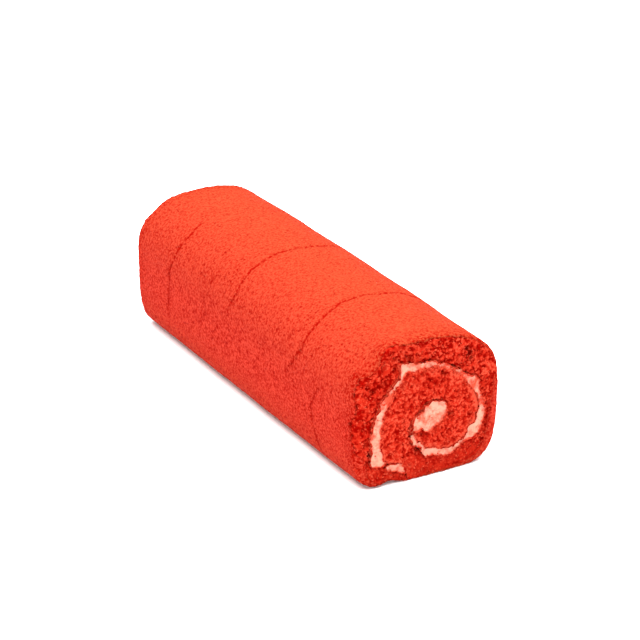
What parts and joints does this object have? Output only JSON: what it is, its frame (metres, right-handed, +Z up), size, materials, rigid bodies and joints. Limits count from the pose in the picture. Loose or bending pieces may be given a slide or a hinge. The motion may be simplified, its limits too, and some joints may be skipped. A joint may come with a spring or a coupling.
{
  "type": "swiss roll cake",
  "caption": "Whole swiss roll of red sponge rolled round pale cream, a long soft log cut square at both ends to show the spiral.",
  "frame": {"origin": "the middle of the box's underside, on the surface that the log lies on", "axes": "+Y along the log, away from the cut end that the picture shows; +Z up; +X to the right seen from that end"},
  "size_m": [0.0798, 0.2298, 0.0718],
  "materials": {
    "sponge": null,
    "cream": null
  },
  "bodies": {
    "root": {"sponge": "sponge", "cream": "cream"}
  },
  "joints": []
}
